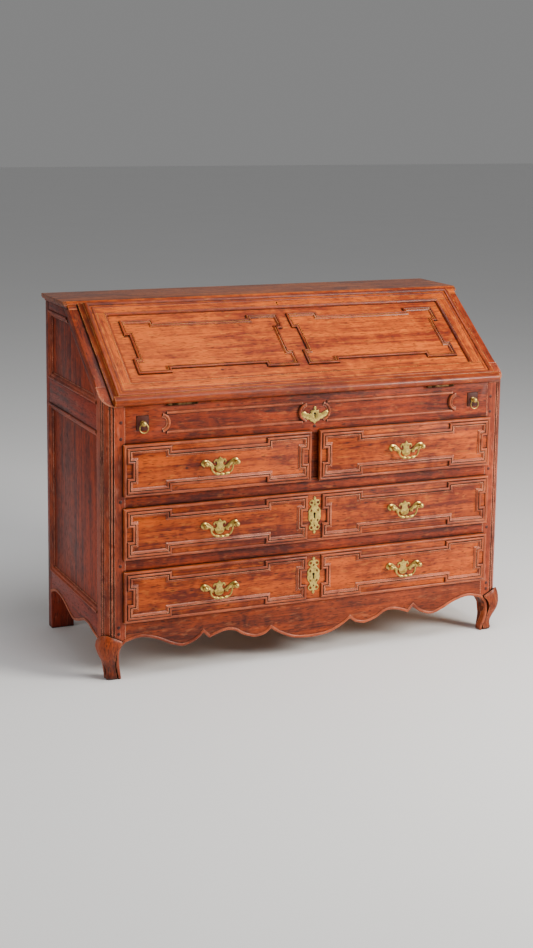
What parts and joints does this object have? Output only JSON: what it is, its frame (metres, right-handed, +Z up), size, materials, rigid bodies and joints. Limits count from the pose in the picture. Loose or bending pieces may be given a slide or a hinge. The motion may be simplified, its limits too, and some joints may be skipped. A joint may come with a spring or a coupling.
{
  "type": "secretary desk",
  "caption": "Slant-front oak secretary desk: moulded fall on pull-out lopers, pigeonhole interior, long and short drawers with brass bail handles, scalloped apron, cabriole feet.",
  "frame": {"origin": "middle of the footprint on the floor, centre of the bounding box in X and Y", "axes": "+X to the right as seen from the front, -Y towards the user, +Z up"},
  "size_m": [1.3238, 0.606, 1.0589],
  "materials": {
    "oak_case": "old waxed oak, dark reddish brown, satin",
    "oak_front": "old waxed oak, warm brown, satin, worn on its edges",
    "oak_fall": "old waxed oak, golden brown, polished",
    "oak_drawer": "old waxed oak, warm mid brown, polished",
    "oak_inside": "plain unpolished oak, matt",
    "brass": "aged polished brass",
    "hinge_brass": "darkened brass, worn",
    "lock_steel": "old bright-filed iron"
  },
  "bodies": {
    "carcass": {"front_post_left": "oak_front", "front_post_right": "oak_front", "back_post_left": "oak_case", "back_post_right": "oak_case", "slope_rail_left": "oak_front", "slope_rail_right": "oak_front", "side_top_rail_left": "oak_case", "side_top_rail_right": "oak_case", "side_mid_rail_left": "oak_case", "side_mid_rail_right": "oak_case", "side_apron_left": "oak_case", "side_apron_right": "oak_case", "side_upper_panel_left": "oak_case", "side_upper_panel_right": "oak_case", "side_lower_panel_left": "oak_case", "side_lower_panel_right": "oak_case", "top_board": "oak_case", "back_panel": "oak_inside", "frieze_rail": "oak_front", "drawer_shelf_upper": "oak_case", "drawer_shelf_lower": "oak_case", "bottom_shelf": "oak_inside", "front_apron": "oak_front", "writing_deck": "oak_inside", "gallery": "oak_inside", "hinge_case_leaf_left": "hinge_brass", "hinge_case_leaf_right": "hinge_brass"},
    "fall": {"fall_frame": "oak_fall", "fall_panel": "oak_fall", "hinge_fall_leaf_left": "hinge_brass", "hinge_fall_leaf_right": "hinge_brass"},
    "fall_lock_bolt": {"fall_lock_bolt": "lock_steel"},
    "gallery_drawer_left": {"gallery_drawer_left": "oak_inside"},
    "gallery_drawer_right": {"gallery_drawer_right": "oak_inside"},
    "drawer_top_left": {"drawer_top_left_front": "oak_drawer", "drawer_top_left_box": "oak_inside", "handle_plate_top_left": "brass"},
    "drawer_top_right": {"drawer_top_right_front": "oak_drawer", "drawer_top_right_box": "oak_inside", "handle_plate_top_right": "brass"},
    "drawer_middle": {"drawer_middle_front": "oak_drawer", "drawer_middle_box": "oak_inside", "handle_plate_middle_left": "brass", "handle_plate_middle_right": "brass"},
    "drawer_bottom": {"drawer_bottom_front": "oak_drawer", "drawer_bottom_box": "oak_inside", "handle_plate_bottom_left": "brass", "handle_plate_bottom_right": "brass"},
    "drawer_middle_bolt": {"drawer_middle_bolt": "lock_steel"},
    "drawer_bottom_bolt": {"drawer_bottom_bolt": "lock_steel"},
    "bail_top_left": {"handle_bail_top_left": "brass"},
    "bail_top_right": {"handle_bail_top_right": "brass"},
    "bail_middle_left": {"handle_bail_middle_left": "brass"},
    "bail_middle_right": {"handle_bail_middle_right": "brass"},
    "bail_bottom_left": {"handle_bail_bottom_left": "brass"},
    "bail_bottom_right": {"handle_bail_bottom_right": "brass"},
    "loper_left": {"loper_left": "oak_front"},
    "loper_ring_left": {"loper_ring_left": "brass"},
    "loper_right": {"loper_right": "oak_front"},
    "loper_ring_right": {"loper_ring_right": "brass"}
  },
  "joints": [
    {"name": "fall_hinge", "type": "hinge", "parent": "carcass", "child": "fall", "pos_m": [0, -0.274, 0.7995], "axis": [1, 0, 0], "range_deg": [0, 144]},
    {"name": "fall_lock_slide", "type": "slide", "parent": "fall", "child": "fall_lock_bolt", "axis": [0, 0.809, 0.5878], "range_m": [0, 0.018]},
    {"name": "drawer_top_left_slide", "type": "slide", "parent": "carcass", "child": "drawer_top_left", "axis": [0, -1, 0], "range_m": [0, 0.4]},
    {"name": "drawer_top_right_slide", "type": "slide", "parent": "carcass", "child": "drawer_top_right", "axis": [0, -1, 0], "range_m": [0, 0.4]},
    {"name": "drawer_middle_slide", "type": "slide", "parent": "carcass", "child": "drawer_middle", "axis": [0, -1, 0], "range_m": [0, 0.4]},
    {"name": "drawer_bottom_slide", "type": "slide", "parent": "carcass", "child": "drawer_bottom", "axis": [0, -1, 0], "range_m": [0, 0.4]},
    {"name": "drawer_middle_lock_slide", "type": "slide", "parent": "drawer_middle", "child": "drawer_middle_bolt", "axis": [0, 0, 1], "range_m": [0, 0.009]},
    {"name": "drawer_bottom_lock_slide", "type": "slide", "parent": "drawer_bottom", "child": "drawer_bottom_bolt", "axis": [0, 0, 1], "range_m": [0, 0.009]},
    {"name": "gallery_drawer_left_slide", "type": "slide", "parent": "carcass", "child": "gallery_drawer_left", "axis": [0, -1, 0], "range_m": [0, 0.12]},
    {"name": "gallery_drawer_right_slide", "type": "slide", "parent": "carcass", "child": "gallery_drawer_right", "axis": [0, -1, 0], "range_m": [0, 0.12]},
    {"name": "loper_left_slide", "type": "slide", "parent": "carcass", "child": "loper_left", "axis": [0, -1, 0], "range_m": [0, 0.3]},
    {"name": "loper_right_slide", "type": "slide", "parent": "carcass", "child": "loper_right", "axis": [0, -1, 0], "range_m": [0, 0.3]},
    {"name": "bail_top_left_swing", "type": "hinge", "parent": "drawer_top_left", "child": "bail_top_left", "pos_m": [-0.303, -0.295, 0.6215], "axis": [-1, 0, 0], "range_deg": [0, 90]},
    {"name": "bail_top_right_swing", "type": "hinge", "parent": "drawer_top_right", "child": "bail_top_right", "pos_m": [0.303, -0.295, 0.6215], "axis": [-1, 0, 0], "range_deg": [0, 90]},
    {"name": "bail_middle_left_swing", "type": "hinge", "parent": "drawer_middle", "child": "bail_middle_left", "pos_m": [-0.303, -0.295, 0.4375], "axis": [-1, 0, 0], "range_deg": [0, 90]},
    {"name": "bail_middle_right_swing", "type": "hinge", "parent": "drawer_middle", "child": "bail_middle_right", "pos_m": [0.303, -0.295, 0.4375], "axis": [-1, 0, 0], "range_deg": [0, 90]},
    {"name": "bail_bottom_left_swing", "type": "hinge", "parent": "drawer_bottom", "child": "bail_bottom_left", "pos_m": [-0.303, -0.295, 0.2525], "axis": [-1, 0, 0], "range_deg": [0, 90]},
    {"name": "bail_bottom_right_swing", "type": "hinge", "parent": "drawer_bottom", "child": "bail_bottom_right", "pos_m": [0.303, -0.295, 0.2525], "axis": [-1, 0, 0], "range_deg": [0, 90]},
    {"name": "loper_ring_left_swing", "type": "hinge", "parent": "loper_left", "child": "loper_ring_left", "pos_m": [-0.535, -0.281, 0.749], "axis": [-1, 0, 0], "range_deg": [0, 90]},
    {"name": "loper_ring_right_swing", "type": "hinge", "parent": "loper_right", "child": "loper_ring_right", "pos_m": [0.535, -0.281, 0.749], "axis": [-1, 0, 0], "range_deg": [0, 90]}
  ]
}
